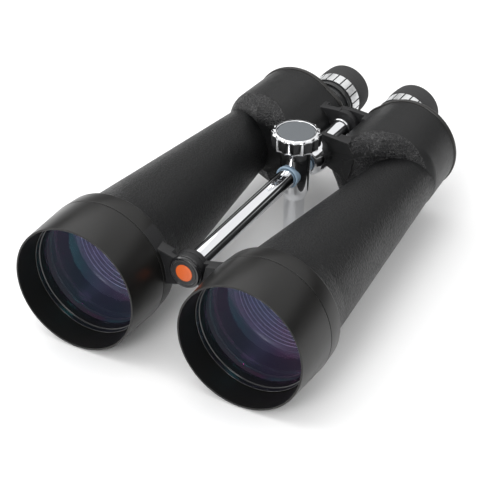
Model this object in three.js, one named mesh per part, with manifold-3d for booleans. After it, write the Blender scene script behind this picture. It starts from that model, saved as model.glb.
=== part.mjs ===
// Giant astronomy binoculars: two Porro-prism telescopes on one central hinge,
// with a chrome hinge rod that carries a sliding tripod post.
//
// Frame: millimetres, +X to the right, +Y towards the eyepieces, +Z up. The hinge axis
// runs along Y at x = 0, y = 0 is at mid-length and z = 0 is the plane it stands on.
//
// Each half is drawn in its own level frame, where u (local x) runs outwards from the
// hinge axis through the eyepiece axis to the objective axis. The half is then turned
// about the hinge axis, and the left half is the right one mirrored.

import * as THREE from 'three';
import { mergeVertices } from 'three/addons/utils/BufferGeometryUtils.js';
import Module from 'manifold-3d';

const wasm = await Module();
wasm.setup();

// ---------------------------------------------------------------- driving dimensions

const LENGTH = 394;
const FRONT_Y = -LENGTH / 2;
const REAR_Y = LENGTH / 2;

const DROOP = THREE.MathUtils.degToRad(13); // each half hangs this far below level
const OBJECTIVE_U = 78.3; // hinge axis to objective axis
const EYEPIECE_U = 36.6; // hinge axis to eyepiece axis
const HOOD_R = 57;
const HINGE_Z = HOOD_R + OBJECTIVE_U * Math.sin(DROOP);

const GAP = 0.35; // left between neighbours that are cut or that rest on each other

// Objective end
const HOOD_RIM_R = 55.9;
const HOOD_REAR_Y = -152;
const SOCKET_R = 53; // bore of the tube's front end, and of the hood's lip in front of it
const SOCKET_REAR_Y = -144;
const NOSE_R = 54.3; // the tube's front end, inside the hood
const BAND_REAR_R = 55.1;
const BAND_REAR_Y = -133.5;
const CONE_FRONT_Y = -126;
const CONE_FRONT_R = 48.5;
const CONE_REAR_Y = 80;
const CONE_REAR_R = 28.1;
const TUBE_WALL = 1.8;
const NECK_R = 25.2; // threaded rear end of the tube, inside the prism housing
const NECK_REAR_Y = 84;
const LENS_R = 51;
const CLEAR_R = 50; // clear radius of the objective
const LENS_FRONT_Y = -162;
const CELL_R = 52.6;
const NOSE_Y = LENS_FRONT_Y - 4.5;
const RING_STEP_Y = -170; // steps of the retaining ring in front of the lens
const RING_LIP_Y = -174.5;

// Prism housing
const BIG_R = 42.3; // round the objective side
const SMALL_R = 25; // round the eyepiece side
const BIG_U = 59; // centre of the big arc at the rear cover
const LEAN = 5 / 65; // the big arc moves outwards by this much for each mm forwards
const HOUSING_FRONT_Y = 67; // flat front beside the hinge
const FRONT_FLAT_U = 50; // the front falls back beyond this, by FRONT_FALL in the end
const FRONT_FALL = 22.5;
const FRONT_FALL_LENGTH = 20;
const SHOULDER_DEPTH = 12;
const SHOULDER_WIDTH = 16;
const HOUSING_WALL = 2.5;
const INNER_SMALL_R = 18; // the wall beside the hinge is thicker, for the reliefs
const FIT_INSET = HOUSING_WALL + 0.4; // outline of what fits inside the housing
const HOUSING_REAR_Y = 141.2;
const COVER_REAR_Y = 146;
const BOSS_REAR_Y = 148.6;
const SHELF_Y = [110.8, 114.2];

// Porro prisms: the beam shifts by PRISM_SHIFT twice, at right angles
const PRISM_SHIFT = (OBJECTIVE_U - EYEPIECE_U) / Math.SQRT2;
const PRISM_HALF_LENGTH = 26;
const PRISM_HALF_WIDTH = 12;
const PRISM_FRONT = { u: EYEPIECE_U + (OBJECTIVE_U - EYEPIECE_U) / 4, y: SHELF_Y[0] - GAP };
const PRISM_REAR = { u: OBJECTIVE_U - (OBJECTIVE_U - EYEPIECE_U) / 4, y: SHELF_Y[1] + GAP };
const PRISM_W = (OBJECTIVE_U - EYEPIECE_U) / 4;

// Eyepieces
const BARREL_R = 20.8;
const RING_R = 23.6;
const RING_FRONT_Y = 158.2;
const RING_REAR_Y = 177;
const EYE_BORE_R = 11.8;

// Hinge
const ROD_R = 8.4;
const JOURNAL_R = 6; // the rod's ends, inside the knuckles
const ROD_FRONT_Y = -150.8;
const CAP_FRONT_Y = -153;
const CAP_R = 14.3;
const DISC_R = 9;
const FRONT_HUB = { y0: -148, y1: -137, r: 14.2, reach: 15 };
const MIDDLE_LUG = { y0: 67, y1: 77.6, r: 14.6, reach: 15.5 };
const REAR_LUG = { y0: 118.6, y1: 130.4, r: 14.6, reach: 15.5 };
const RELIEF_R = 15.1;
const COLLAR_R = 17;
const NUT_Y = REAR_LUG.y1 + GAP;
const ROD_REAR_Y = NUT_Y + 3;

// Outlines of the hinge arms in (u, w), from the hinge axis outwards
const FRONT_ARM = [[0, 5], [34, 22.3], [34, -16], [0, -13.5]];
const MIDDLE_ARM = [[0, 20.5], [27, 24.8], [EYEPIECE_U, 12], [EYEPIECE_U, -12], [14, -8], [0, 0]];
const REAR_ARM = [[0, 15.5], [26, 19.3], [EYEPIECE_U, 12], [EYEPIECE_U, -12], [14, -8], [0, 0]];

// Tripod post, at its rest place on the rod
const POST_Y = 31.4;
const POST_R = 13;
const LEG_R = 9.1;
const LEG_TOP_Z = 50;
const ROD_HOLE_R = 10.1;
const LINER_R = 9.75;
const LINER_HALF_LENGTH = 13.6;
const FLANGE_R = 10.6;
const SHOE_LOW = 10.1; // heights above the hinge axis
const SHOE_HIGH = 13.2;
const SCREW_LOW = 13.6;
const SCREW_R = 5;
const KNOB_R = 21.5;
const KNOB_Z = [98.7, 113.5];
const SCALLOPS = 16;
const SCALLOP_DEPTH = 1.6;
const KNOB_RECESS_R = 16.6;
const KNOB_RECESS_DEPTH = 1.4;
const INSERT_R = 4.9;
const INSERT_DEPTH = 13.4;
const THREAD_HOLE_R = 3.2;
const THREAD_HOLE_DEPTH = 11.5;

// Number of flat sides that stand for a full circle
const OBJECTIVE_SIDES = 24;
const EYEPIECE_SIDES = 16;
const HINGE_SIDES = 16;
const HULL_ARC_STEPS = 10;

// ---------------------------------------------------------------- solids

// Welds a geometry into a closed solid that faces outwards.
function solidFrom(geometry) {
  geometry.deleteAttribute('normal');
  geometry.deleteAttribute('uv');
  const welded = mergeVertices(geometry, 1e-4);
  const corners = Array.from(welded.index.array);
  const triangles = [];
  for (let i = 0; i < corners.length; i += 3) {
    const [a, b, c] = corners.slice(i, i + 3);
    if (a !== b && b !== c && c !== a) triangles.push(a, b, c);
  }
  if (signedVolume(welded.attributes.position, triangles) < 0) triangles.reverse();
  return new wasm.Manifold(new wasm.Mesh({
    numProp: 3,
    vertProperties: new Float32Array(welded.attributes.position.array),
    triVerts: new Uint32Array(triangles),
  }));
}

function signedVolume(position, triangles) {
  const corner = (i) => new THREE.Vector3().fromBufferAttribute(position, triangles[i]);
  let sum = 0;
  for (let i = 0; i < triangles.length; i += 3) {
    sum += corner(i).dot(corner(i + 1).cross(corner(i + 2)));
  }
  return sum;
}

function geometryFrom(solid) {
  const { vertProperties, triVerts } = solid.getMesh();
  const geometry = new THREE.BufferGeometry();
  geometry.setAttribute('position', new THREE.BufferAttribute(vertProperties, 3));
  geometry.setIndex(new THREE.BufferAttribute(triVerts, 1));
  geometry.computeVertexNormals();
  return geometry;
}

const join = (first, ...rest) => rest.reduce((whole, next) => whole.add(next), first);
const cut = (first, ...rest) => rest.reduce((whole, next) => whole.subtract(next), first);

// A solid of revolution about a line along Y at x = u, z = w. The outline is a list of
// [radius, y]; one that leaves the axis is closed on itself.
function turned(outline, sides, u = 0, w = 0) {
  const points = outline.map(([r, y]) => new THREE.Vector2(r, y));
  const onAxis = outline[0][0] === 0 && outline.at(-1)[0] === 0;
  if (!onAxis) points.push(points[0].clone());
  return solidFrom(new THREE.LatheGeometry(points, sides).translate(u, 0, w));
}

// A plain rod along Y.
function rod(radius, y0, y1, sides = HINGE_SIDES, u = 0, w = 0) {
  return turned([[0, y0], [radius, y0], [radius, y1], [0, y1]], sides, u, w);
}

// A plain rod along Z, at height z0 to z1, on the post's axis.
function upright(radius, z0, z1) {
  const geometry = new THREE.CylinderGeometry(radius, radius, z1 - z0, HINGE_SIDES);
  geometry.rotateX(Math.PI / 2);
  geometry.translate(0, POST_Y, (z0 + z1) / 2);
  return solidFrom(geometry);
}

// A flat outline in (u, w), drawn out along Y from y0 to y1.
function drawn(shape, y0, y1) {
  const geometry = new THREE.ExtrudeGeometry(shape, { depth: y1 - y0, bevelEnabled: false });
  return solidFrom(geometry.rotateX(Math.PI / 2).translate(0, y1, 0));
}

function polygon(corners) {
  return new THREE.Shape(corners.map(([u, w]) => new THREE.Vector2(u, w)));
}

// ---------------------------------------------------------------- materials and nodes

const FINISHES = {
  satinBlack: { color: 0x1b1b1c, roughness: 0.42, metalness: 0.1 },
  grainedBlack: { color: 0x232425, roughness: 0.68, metalness: 0 },
  mattBlack: { color: 0x101011, roughness: 0.85, metalness: 0 },
  grey: { color: 0x4a4c4e, roughness: 0.5, metalness: 0.2 },
  plainGrey: { color: 0x6b7073, roughness: 0.6, metalness: 0 },
  chrome: { color: 0xd8dadc, roughness: 0.08, metalness: 1 },
  silver: { color: 0xc4c6c8, roughness: 0.3, metalness: 1 },
  steel: { color: 0xa9abae, roughness: 0.35, metalness: 1 },
  brass: { color: 0xb08d4a, roughness: 0.35, metalness: 1 },
  coatedGlass: { color: 0x2b2340, roughness: 0.03, metalness: 0, transparent: true, opacity: 0.35 },
  clearGlass: { color: 0xdfe8ea, roughness: 0.03, metalness: 0, transparent: true, opacity: 0.35 },
  rubber: { color: 0x2c2d2e, roughness: 0.9, metalness: 0 },
  nylon: { color: 0x8fa3b3, roughness: 0.55, metalness: 0 },
  orange: { color: 0xd9531e, roughness: 0.5, metalness: 0 },
};

function node(name, solid, finish) {
  const mesh = new THREE.Mesh(
    geometryFrom(solid),
    new THREE.MeshStandardMaterial(FINISHES[finish]),
  );
  mesh.name = name;
  return mesh;
}

// ---------------------------------------------------------------- objective end

// Radius of the tapered tube at a place along it.
function coneRadius(y) {
  const along = (y - CONE_FRONT_Y) / (CONE_REAR_Y - CONE_FRONT_Y);
  return CONE_FRONT_R + (CONE_REAR_R - CONE_FRONT_R) * along;
}

function lensHood() {
  const mouthR = HOOD_RIM_R - 1.5;
  const bore = NOSE_R + 0.4;
  const seatY = NOSE_Y - 0.5;
  return turned([
    [mouthR, FRONT_Y], [HOOD_RIM_R, FRONT_Y], [HOOD_R, HOOD_REAR_Y],
    [bore, HOOD_REAR_Y], [bore, seatY], [SOCKET_R, seatY],
  ], OBJECTIVE_SIDES);
}

// The tube's outside, with the hinge arm, less its inside. The arm ends in a knuckle
// that takes up one half of the hub's length, so that the two tubes interleave.
function objectiveTube(knuckleInFront) {
  const bandY = HOOD_REAR_Y + GAP;
  const outside = turned([
    [0, NOSE_Y], [NOSE_R, NOSE_Y], [NOSE_R, bandY], [HOOD_R, bandY],
    [BAND_REAR_R, BAND_REAR_Y], [CONE_FRONT_R, CONE_FRONT_Y], [CONE_REAR_R, CONE_REAR_Y],
    [NECK_R, CONE_REAR_Y], [NECK_R, NECK_REAR_Y], [0, NECK_REAR_Y],
  ], OBJECTIVE_SIDES, OBJECTIVE_U);
  const [beforeY, boreEndY, behindY] = [NOSE_Y - 1, CONE_REAR_Y - 4, NECK_REAR_Y + 1];
  const neckBore = NECK_R - 2.2;
  const inside = turned([
    [0, beforeY], [SOCKET_R, beforeY], [SOCKET_R, SOCKET_REAR_Y],
    [CONE_FRONT_R - TUBE_WALL, CONE_FRONT_Y], [coneRadius(boreEndY) - TUBE_WALL, boreEndY],
    [neckBore, CONE_REAR_Y], [neckBore, behindY], [0, behindY],
  ], OBJECTIVE_SIDES, OBJECTIVE_U);
  return cut(join(outside, hingeArm(FRONT_HUB, knuckleInFront, FRONT_ARM)), inside);
}

// A hinge arm drawn from the hinge axis outwards: full thickness beyond the other half's
// knuckle, and half thickness with a round knuckle and a bore on the axis.
function hingeArm(hub, knuckleInFront, outline) {
  const middle = (hub.y0 + hub.y1) / 2;
  const y0 = knuckleInFront ? hub.y0 : middle + GAP / 2;
  const y1 = knuckleInFront ? middle - GAP / 2 : hub.y1;
  const far = 100;
  const beyond = polygon([[hub.reach, -far], [far, -far], [far, far], [hub.reach, far]]);
  const thick = drawn(polygon(outline), hub.y0, hub.y1).intersect(drawn(beyond, -2 * far, 2 * far));
  const thin = drawn(polygon(outline), y0, y1);
  const bore = rod(JOURNAL_R + GAP, hub.y0 - 1, hub.y1 + 1);
  return cut(join(thick, thin, rod(hub.r, y0, y1)), bore);
}

function objectiveCell() {
  const [frontY, shoulderY, rearY] = [-165.8, -148.2, -146.4];
  const [lipR, bore] = [49, LENS_R + GAP];
  return turned([
    [bore, frontY], [CELL_R, frontY], [CELL_R, rearY], [lipR, rearY], [lipR, shoulderY],
    [bore, shoulderY],
  ], OBJECTIVE_SIDES);
}

// The ring that holds the lens: a slope next to the glass, then two steps towards the hood.
function retainingRing() {
  const [slopeR, stepR, rearY] = [51.3, 52.05, -166.2];
  const touchY = LENS_FRONT_Y - GAP;
  return turned([
    [CLEAR_R, touchY], [CLEAR_R, rearY], [slopeR, RING_STEP_Y], [stepR, RING_STEP_Y],
    [stepR, RING_LIP_Y], [CELL_R, RING_LIP_Y], [CELL_R, rearY], [LENS_R, rearY], [LENS_R, touchY],
  ], OBJECTIVE_SIDES);
}

// Points of a spherical lens face from the edge to the centre; sag is how far the centre
// stands from the edge along Y.
function lensFace(radius, edgeY, sag) {
  const steps = 2;
  const face = [];
  for (let i = 0; i <= steps; i++) {
    const r = radius * (1 - i / steps);
    face.push([r, edgeY + sag * (1 - (r / radius) ** 2)]);
  }
  return face;
}

function lens(radius, frontY, frontSag, rearY, rearSag, sides) {
  const front = lensFace(radius, frontY, frontSag).reverse();
  return turned([...front, ...lensFace(radius, rearY, rearSag)], sides);
}

const crownLens = () => lens(LENS_R, LENS_FRONT_Y, -4.5, -157, 3, OBJECTIVE_SIDES);
const flintLens = () => lens(LENS_R, -155.6, 3, -148.6, 0.8, OBJECTIVE_SIDES);

function lensSpacer() {
  const [innerR, frontY, rearY] = [49.6, -156.65, -155.95];
  return turned([
    [innerR, frontY], [LENS_R, frontY], [LENS_R, rearY], [innerR, rearY],
  ], OBJECTIVE_SIDES);
}

// A thin sleeve behind the objective, with sharp ridges that stop stray light.
function tubeBaffle() {
  const [y0, y1] = [CONE_FRONT_Y, -60];
  const ridges = 4;
  const pitch = (y1 - y0) / ridges;
  const [thin, thick, edge] = [1.2, 3, 0.8];
  const outerR = (y) => coneRadius(y) - TUBE_WALL - 0.5;
  const outline = [[outerR(y0), y0], [outerR(y1), y1]];
  for (let y = y1; y > y0; y -= pitch) {
    outline.push([outerR(y) - thick, y], [outerR(y - pitch) - thin, y - pitch + edge]);
  }
  return turned(outline, OBJECTIVE_SIDES);
}

// ---------------------------------------------------------------- prism housing

// Outline of the housing: the hull of a big circle and a small one, both drawn inwards
// by the inset. It runs once round, with the same number of points at any inset.
function hullPoints(inset, small) {
  const big = BIG_R - inset;
  const tangent = Math.PI - Math.acos((big - small) / (BIG_U - EYEPIECE_U));
  const shape = new THREE.Shape();
  shape.absarc(BIG_U, 0, big, -tangent, tangent);
  shape.absarc(EYEPIECE_U, 0, small, tangent, 2 * Math.PI - tangent);
  const points = shape.getPoints(HULL_ARC_STEPS);
  if (points[0].distanceTo(points.at(-1)) < 1e-3) points.pop();
  return points;
}

// How far the big side leans outwards at a place along the housing. The small side stays
// parallel to the eyepiece axis.
function leaned(u, y) {
  const share = THREE.MathUtils.clamp((u - EYEPIECE_U) / (BIG_U - EYEPIECE_U), 0, 1);
  return u + LEAN * (COVER_REAR_Y - y) * share;
}

// A closed skin through rings of the hull. Each ring has an inset for the big circle, a
// radius for the small one, and its y as a function of u.
function skinned(rings) {
  const positions = [];
  for (const { inset, small, yAt } of rings) {
    for (const point of hullPoints(inset, small)) {
      const y = yAt(point.x);
      positions.push(leaned(point.x, y), y, point.y);
    }
  }
  const around = positions.length / 3 / rings.length;
  const index = [];
  for (let ring = 0; ring + 1 < rings.length; ring++) {
    for (let i = 0; i < around; i++) {
      const [a, b] = [ring * around + i, ring * around + ((i + 1) % around)];
      index.push(a, b, a + around, b, b + around, a + around);
    }
  }
  const lastRing = positions.length / 3 - around;
  const first = rings[0];
  const cap = THREE.ShapeUtils.triangulateShape(hullPoints(first.inset, first.small), []);
  for (const [a, b, c] of cap) {
    index.push(a, c, b, lastRing + a, lastRing + b, lastRing + c);
  }
  const geometry = new THREE.BufferGeometry();
  geometry.setAttribute('position', new THREE.Float32BufferAttribute(positions, 3));
  geometry.setIndex(index);
  return solidFrom(geometry);
}

// A straight length of the hull, between two flat ends.
function hull(inset, small, y0, y1) {
  return skinned([y0, y1].map((y) => ({ inset, small, yAt: () => y })));
}

// The housing's front: flat by the hinge, and falling back on a curve beyond it.
function frontY(u) {
  const beyond = Math.max(0, u - FRONT_FLAT_U);
  return HOUSING_FRONT_Y + FRONT_FALL * (1 - Math.exp(-beyond / FRONT_FALL_LENGTH));
}

// The hull with its rounded front shoulder: the front edge is a quarter ellipse,
// SHOULDER_DEPTH along Y and SHOULDER_WIDTH across.
function shoulderedHull(inset, small, setBack, rearY, steps) {
  const rings = [];
  for (let i = 0; i <= steps; i++) {
    const angle = (Math.PI / 2) * (i / steps);
    const inwards = SHOULDER_WIDTH * (1 - Math.sin(angle));
    const depth = SHOULDER_DEPTH * (1 - Math.cos(angle)) + setBack;
    rings.push({ inset: inset + inwards, small: small - inwards, yAt: (u) => frontY(u) + depth });
  }
  rings.push({ inset, small, yAt: () => rearY });
  return skinned(rings);
}

// The cone of the tube, carried on by the housing so that their outer sides are flush.
function coneCarriedOn() {
  const [y0, y1] = [CONE_REAR_Y, CONE_REAR_Y + 30];
  const outline = [[0, y0], [coneRadius(y0), y0], [coneRadius(y1), y1], [0, y1]];
  return turned(outline, OBJECTIVE_SIDES, OBJECTIVE_U);
}

// Room for the tube's cone and threaded neck, and for the beam behind it.
function tubeClearance() {
  const [frontY, seatY] = [CONE_REAR_Y - 20, CONE_REAR_Y + GAP];
  const [stopY, endY] = [NECK_REAR_Y + GAP, NECK_REAR_Y + 16];
  const [neckR, beamR] = [NECK_R + GAP, NECK_R - 0.8];
  return turned([
    [0, frontY], [coneRadius(frontY) + GAP, frontY], [CONE_REAR_R + GAP, seatY], [neckR, seatY],
    [neckR, stopY], [beamR, stopY], [beamR, endY], [0, endY],
  ], OBJECTIVE_SIDES, OBJECTIVE_U);
}

// Room for the knuckle of the other half on each pair of lugs.
function knuckleRelief(hub, ownInFront) {
  const middle = (hub.y0 + hub.y1) / 2;
  return ownInFront
    ? rod(RELIEF_R, middle - GAP / 2, hub.y1 + GAP)
    : rod(RELIEF_R, hub.y0 - GAP, middle + GAP / 2);
}

function prismHousing(middleInFront, rearInFront) {
  const casting = join(
    shoulderedHull(0, SMALL_R, 0, HOUSING_REAR_Y, 3),
    coneCarriedOn(),
  );
  const body = join(
    cut(casting, knuckleRelief(MIDDLE_LUG, middleInFront), knuckleRelief(REAR_LUG, rearInFront)),
    hingeArm(MIDDLE_LUG, middleInFront, MIDDLE_ARM),
    hingeArm(REAR_LUG, rearInFront, REAR_ARM),
  );
  const openY = HOUSING_REAR_Y + 1;
  const cavity = shoulderedHull(HOUSING_WALL, INNER_SMALL_R, HOUSING_WALL + 1, openY, 2);
  return cut(body, cavity, tubeClearance());
}

function rearCover() {
  const rim = 0.8;
  const jointY = HOUSING_REAR_Y;
  const [bossR, holeR, pocketInset, pocketSmallR, pocketY] = [23.5, 16.4, 5, 15.5, 143.4];
  const plate = hull(-rim, SMALL_R + rim, jointY + 0.6, COVER_REAR_Y);
  const spigot = hull(FIT_INSET, INNER_SMALL_R - 0.4, jointY - 3, jointY + 1);
  const pocket = hull(pocketInset, pocketSmallR, jointY - 4, pocketY);
  const boss = rod(bossR, COVER_REAR_Y - 1, BOSS_REAR_Y, EYEPIECE_SIDES, EYEPIECE_U);
  const eyepieceHole = rod(holeR, jointY - 10, BOSS_REAR_Y + 1, EYEPIECE_SIDES, EYEPIECE_U);
  return cut(join(plate, spigot, boss), pocket, eyepieceHole);
}

// ---------------------------------------------------------------- prisms

// A right-angled prism with cropped edges. Its long face lies at y = 0 along local x,
// and its roof points to +Y.
function porroPrism() {
  const end = PRISM_HALF_LENGTH;
  const crop = PRISM_SHIFT - end;
  return sideways([[-end, 0], [end, 0], [end, crop], [crop, end], [-crop, end], [-end, crop]],
    PRISM_HALF_WIDTH);
}

// A spring strap bent over the prism's roof, with a foot on the shelf at each side.
function prismClip() {
  const near = 0.6;
  const thick = 1;
  const inner = PRISM_HALF_LENGTH + near;
  const outer = inner + thick;
  const crop = PRISM_SHIFT - PRISM_HALF_LENGTH + near / 2;
  const foot = outer + 2;
  const right = [
    [inner, 0], [foot, 0], [foot, thick], [outer, thick], [outer, crop + thick / 2],
    [crop + thick / 2, outer],
  ];
  const innerRight = [[inner, crop], [crop, inner]];
  const mirrored = (points) => points.map(([s, d]) => [-s, d]).reverse();
  return sideways([...right, ...mirrored(right), ...mirrored(innerRight).reverse(),
    ...innerRight.reverse()], 4);
}

// Draws an outline in (x, y) out to both sides along Z.
function sideways(corners, halfWidth) {
  const options = { depth: 2 * halfWidth, bevelEnabled: false };
  const geometry = new THREE.ExtrudeGeometry(polygon(corners), options);
  geometry.translate(0, 0, -halfWidth);
  return solidFrom(geometry);
}

function prismShelf() {
  const plate = hull(FIT_INSET, INNER_SMALL_R - 0.4, ...SHELF_Y);
  const [beamR, sides] = [11.4, 12];
  const holes = [[OBJECTIVE_U, 0], [(OBJECTIVE_U + EYEPIECE_U) / 2, 2 * PRISM_W], [EYEPIECE_U, 0]];
  return holes.reduce((rest, [u, w]) => {
    return cut(rest, rod(beamR, SHELF_Y[0] - 1, SHELF_Y[1] + 1, sides, u, w));
  }, plate);
}

// ---------------------------------------------------------------- eyepieces

function eyepieceTube() {
  const [bore, spigotR, frontY, rearY] = [14.4, 16, 143.6, 167.5];
  const seatY = BOSS_REAR_Y + GAP;
  return turned([
    [bore, frontY], [spigotR, frontY], [spigotR, seatY], [BARREL_R, seatY],
    [BARREL_R, rearY], [bore, rearY],
  ], EYEPIECE_SIDES);
}

// The sliding inner barrel that holds the lenses. The focus ring turns in its groove.
function eyepieceCarrier() {
  const [tubeR, grooveR, flangeR] = [14, 13.1, 17.5];
  const [frontY, grooveY, flangeY, rearY] = [149, 172.6, RING_REAR_Y + GAP, 180];
  return turned([
    [EYE_BORE_R, frontY], [tubeR, frontY], [tubeR, grooveY], [grooveR, grooveY], [grooveR, flangeY],
    [flangeR, flangeY], [flangeR, rearY], [EYE_BORE_R, rearY],
  ], EYEPIECE_SIDES);
}

function focusRing() {
  const bore = BARREL_R + 0.6;
  const [skirtR, grooveR, collarR, recessR, webR] = [22.8, 22.2, 21.3, 19, 13.5];
  const [grooveY, padY, webY, collarY] = [162.4, 163.1, 173, 180.6];
  return turned([
    [bore, RING_FRONT_Y], [skirtR, RING_FRONT_Y], [skirtR, grooveY], [grooveR, grooveY],
    [grooveR, padY], [RING_R, padY], [RING_R, RING_REAR_Y], [collarR, RING_REAR_Y],
    [collarR, collarY], [recessR, collarY], [recessR, RING_REAR_Y], [webR, RING_REAR_Y],
    [webR, webY], [bore, webY],
  ], EYEPIECE_SIDES);
}

function eyecup() {
  const [gripR, footR, bulgeR, lipR, rimR, mouthR, throatR] = [21.7, 23.6, 23.9, 23.4, 22.6, 20.6, 18.2];
  const [footY, gripY, bulgeY] = [RING_REAR_Y + GAP, 181, 184];
  return turned([
    [gripR, footY], [footR, footY], [bulgeR, bulgeY], [lipR, REAR_Y - 1], [rimR, REAR_Y],
    [mouthR, REAR_Y], [throatR, bulgeY], [throatR, gripY], [gripR, gripY],
  ], EYEPIECE_SIDES);
}

const fieldLens = () => lens(EYE_BORE_R - GAP, 152, -1.2, 155, 2, EYEPIECE_SIDES);
const eyeLens = () => lens(EYE_BORE_R - GAP, 169, -2.4, 176.6, 1, EYEPIECE_SIDES);

function eyeLensRing() {
  const [inner, outer, frontY, rearY] = [10.4, EYE_BORE_R - GAP, 178, 179.6];
  return turned([[inner, frontY], [outer, frontY], [outer, rearY], [inner, rearY]], EYEPIECE_SIDES);
}

// ---------------------------------------------------------------- one half

function half(side) {
  const isRight = side === 'right';
  const named = (name, solid, finish) => node(`${side}_${name}`, solid, finish);
  const group = new THREE.Group();
  group.rotation.y = isRight ? DROOP : -DROOP;
  group.scale.x = isRight ? 1 : -1;

  const objective = new THREE.Group();
  objective.position.x = OBJECTIVE_U;
  objective.add(
    named('lens_hood', lensHood(), 'satinBlack'),
    named('retaining_ring', retainingRing(), 'satinBlack'),
    named('objective_cell', objectiveCell(), 'mattBlack'),
    named('crown_lens', crownLens(), 'coatedGlass'),
    named('lens_spacer', lensSpacer(), 'mattBlack'),
    named('flint_lens', flintLens(), 'clearGlass'),
    named('tube_baffle', tubeBaffle(), 'mattBlack'),
  );

  const eyepiece = new THREE.Group();
  eyepiece.position.x = EYEPIECE_U;
  eyepiece.add(
    named('eyepiece_tube', eyepieceTube(), 'grey'),
    named('eyepiece_carrier', eyepieceCarrier(), 'mattBlack'),
    named('focus_ring', focusRing(), 'silver'),
    named('field_lens', fieldLens(), 'clearGlass'),
    named('eye_lens', eyeLens(), 'coatedGlass'),
    named('eye_lens_ring', eyeLensRing(), 'mattBlack'),
    named('eyecup', eyecup(), 'rubber'),
  );

  group.add(
    objective,
    eyepiece,
    named('objective_tube', objectiveTube(!isRight), 'grainedBlack'),
    named('prism_housing', prismHousing(isRight, !isRight), 'grainedBlack'),
    named('rear_cover', rearCover(), 'grainedBlack'),
    named('prism_shelf', prismShelf(), 'mattBlack'),
    ...prismPair(named),
  );
  return group;
}

// The two prisms and their clips, crossed at a right angle on the two sides of the shelf.
function prismPair(named) {
  const seats = [
    { name: 'rear', seat: PRISM_REAR, flip: 0, turn: Math.PI / 4 },
    { name: 'front', seat: PRISM_FRONT, flip: Math.PI, turn: -Math.PI / 4 },
  ];
  return seats.map(({ name, seat, flip, turn }) => {
    const group = new THREE.Group();
    const prism = named(`${name}_prism`, porroPrism(), 'clearGlass');
    const clip = named(`${name}_prism_clip`, prismClip(), 'steel');
    group.position.set(seat.u, seat.y, PRISM_W);
    group.rotation.set(flip, turn, 0, 'YXZ');
    group.add(prism, clip);
    return group;
  });
}

// ---------------------------------------------------------------- hinge

function hingeRod() {
  const [frontShoulder, rearShoulder] = [FRONT_HUB.y1 + GAP, MIDDLE_LUG.y0 - GAP];
  return turned([
    [0, ROD_FRONT_Y], [JOURNAL_R, ROD_FRONT_Y], [JOURNAL_R, frontShoulder], [ROD_R, frontShoulder],
    [ROD_R, rearShoulder], [JOURNAL_R, rearShoulder], [JOURNAL_R, ROD_REAR_Y], [0, ROD_REAR_Y],
  ], HINGE_SIDES);
}

// The cap on the front of the hinge, with a round recess for a plain disc.
function hingeCap() {
  const [bore, recessR, faceR] = [JOURNAL_R + GAP, DISC_R + 0.3, 11.2];
  const [recessY, bevelY] = [CAP_FRONT_Y + 0.8, CAP_FRONT_Y + 1.8];
  const [rearY, boreEndY] = [FRONT_HUB.y0 - GAP, ROD_FRONT_Y - GAP];
  return turned([
    [0, recessY], [recessR, recessY], [recessR, CAP_FRONT_Y], [faceR, CAP_FRONT_Y], [CAP_R, bevelY],
    [CAP_R, rearY], [bore, rearY], [bore, boreEndY], [0, boreEndY],
  ], HINGE_SIDES);
}

const capDisc = () => rod(DISC_R, CAP_FRONT_Y - 0.2, CAP_FRONT_Y + 0.8 - GAP);

// The domed collar between the post's run and the rear lugs.
function rearCollar() {
  const bore = ROD_R + GAP;
  const [frontY, rearY] = [MIDDLE_LUG.y0 - 20, MIDDLE_LUG.y0 - GAP];
  return turned([
    [bore, frontY], [11, frontY], [14.4, frontY + 4], [16.4, frontY + 10], [COLLAR_R, rearY],
    [bore, rearY],
  ], HINGE_SIDES);
}

function sleeve(inner, outer, y0, y1) {
  return turned([[inner, y0], [outer, y0], [outer, y1], [inner, y1]], HINGE_SIDES);
}

const rearSpacer = () => sleeve(JOURNAL_R + GAP, 9, MIDDLE_LUG.y1 + GAP, REAR_LUG.y0 - GAP);

function hingeNut() {
  const [bore, outer, endR] = [JOURNAL_R + GAP, 11, 10];
  const [innerY, outerY] = [ROD_REAR_Y + GAP, ROD_REAR_Y + 1.6];
  return turned([
    [bore, NUT_Y], [outer, NUT_Y], [outer, innerY], [endR, outerY], [0, outerY],
    [0, innerY], [bore, innerY],
  ], HINGE_SIDES);
}

// ---------------------------------------------------------------- tripod post

// The nylon liner on the rod: it slides with the post, and its front flange shows.
function rodBush() {
  const bore = ROD_R + GAP;
  const [frontY, rearY] = [POST_Y - LINER_HALF_LENGTH, POST_Y + LINER_HALF_LENGTH];
  const flangeY = frontY - 1.6;
  return turned([
    [bore, flangeY], [FLANGE_R, flangeY], [FLANGE_R, frontY], [LINER_R, frontY], [LINER_R, rearY],
    [bore, rearY],
  ], HINGE_SIDES, 0, HINGE_Z);
}

function tripodPost() {
  const clamp = upright(POST_R, LEG_TOP_Z, KNOB_Z[0] - 0.6);
  const leg = upright(LEG_R, 0, LEG_TOP_Z + 1);
  const [before, behind] = [POST_Y - 2 * POST_R, POST_Y + 2 * POST_R];
  const rodHole = rod(ROD_HOLE_R, before, behind, HINGE_SIDES, 0, HINGE_Z);
  const screwHole = upright(SCREW_R + 0.4, HINGE_Z, KNOB_Z[1]);
  const insertHole = upright(INSERT_R + 0.3, -1, INSERT_DEPTH + 0.6);
  return cut(join(clamp, leg), rodHole, screwHole, insertHole);
}

function threadInsert() {
  return cut(upright(INSERT_R, 0, INSERT_DEPTH), upright(THREAD_HOLE_R, -1, THREAD_HOLE_DEPTH));
}

// The shoe presses on the liner, and rises with the knob's screw.
const clampShoe = () => upright(SCREW_R, HINGE_Z + SHOE_LOW, HINGE_Z + SHOE_HIGH);

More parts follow.
